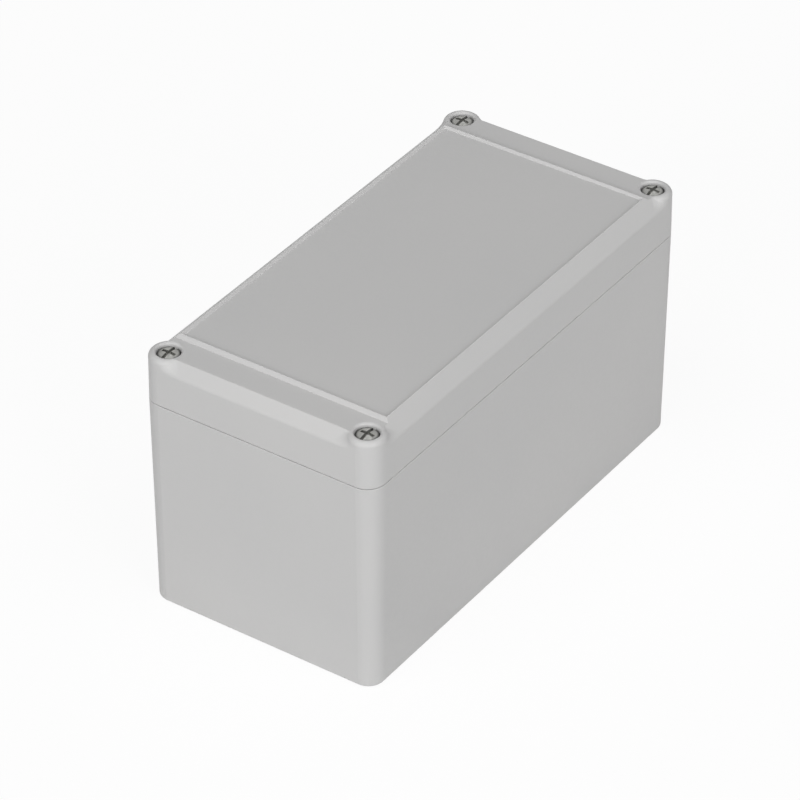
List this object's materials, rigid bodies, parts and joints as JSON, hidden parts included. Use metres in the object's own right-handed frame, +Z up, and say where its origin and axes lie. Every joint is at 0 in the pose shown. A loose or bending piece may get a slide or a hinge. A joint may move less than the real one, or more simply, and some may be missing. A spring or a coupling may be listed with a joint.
{
  "type": "plastic project box",
  "caption": "Deep rectangular moulded plastic enclosure with a screw-down lid, recessed lid top, sealing groove and corner screw columns.",
  "frame": {"origin": "centre of the underside, on the surface that the box stands on", "axes": "+X along the length, +Y across the width, +Z up through the lid"},
  "size_m": [0.16, 0.08, 0.0876],
  "materials": {
    "enclosure": "fine satin moulded texture, light grey",
    "seal": "soft matte foam rubber",
    "screw": "polished stainless steel",
    "retainer": "natural nylon",
    "insert": "turned brass"
  },
  "bodies": {
    "base": {"base": "enclosure", "insert_left_front": "insert", "insert_right_front": "insert", "insert_right_rear": "insert", "insert_left_rear": "insert"},
    "lid": {"lid": "enclosure", "lid_gasket": "seal"},
    "retainer_left_front": {"retainer_left_front": "retainer"},
    "screw_left_front": {"screw_left_front": "screw"},
    "retainer_right_front": {"retainer_right_front": "retainer"},
    "screw_right_front": {"screw_right_front": "screw"},
    "retainer_right_rear": {"retainer_right_rear": "retainer"},
    "screw_right_rear": {"screw_right_rear": "screw"},
    "retainer_left_rear": {"retainer_left_rear": "retainer"},
    "screw_left_rear": {"screw_left_rear": "screw"}
  },
  "joints": [
    {"name": "lid_lift", "type": "slide", "parent": "base", "child": "lid", "axis": [0, 0, 1], "range_m": [0, 0.05]},
    {"name": "rise_left_front", "type": "slide", "parent": "lid", "child": "retainer_left_front", "axis": [0, 0, 1], "range_m": [0, 0.0056]},
    {"name": "turn_left_front", "type": "hinge", "parent": "retainer_left_front", "child": "screw_left_front", "pos_m": [-0.074, -0.034, 0.0825], "axis": [0, 0, 1], "range_deg": [0, 2880]},
    {"name": "rise_right_front", "type": "slide", "parent": "lid", "child": "retainer_right_front", "axis": [0, 0, 1], "range_m": [0, 0.0056]},
    {"name": "turn_right_front", "type": "hinge", "parent": "retainer_right_front", "child": "screw_right_front", "pos_m": [0.074, -0.034, 0.0825], "axis": [0, 0, 1], "range_deg": [0, 2880]},
    {"name": "rise_right_rear", "type": "slide", "parent": "lid", "child": "retainer_right_rear", "axis": [0, 0, 1], "range_m": [0, 0.0056]},
    {"name": "turn_right_rear", "type": "hinge", "parent": "retainer_right_rear", "child": "screw_right_rear", "pos_m": [0.074, 0.034, 0.0825], "axis": [0, 0, 1], "range_deg": [0, 2880]},
    {"name": "rise_left_rear", "type": "slide", "parent": "lid", "child": "retainer_left_rear", "axis": [0, 0, 1], "range_m": [0, 0.0056]},
    {"name": "turn_left_rear", "type": "hinge", "parent": "retainer_left_rear", "child": "screw_left_rear", "pos_m": [-0.074, 0.034, 0.0825], "axis": [0, 0, 1], "range_deg": [0, 2880]}
  ],
  "couplings": [
    {"joint": "turn_left_front", "follows": "rise_left_front", "rad_per_m": 8976},
    {"joint": "turn_right_front", "follows": "rise_right_front", "rad_per_m": 8976},
    {"joint": "turn_right_rear", "follows": "rise_right_rear", "rad_per_m": 8976},
    {"joint": "turn_left_rear", "follows": "rise_left_rear", "rad_per_m": 8976}
  ]
}
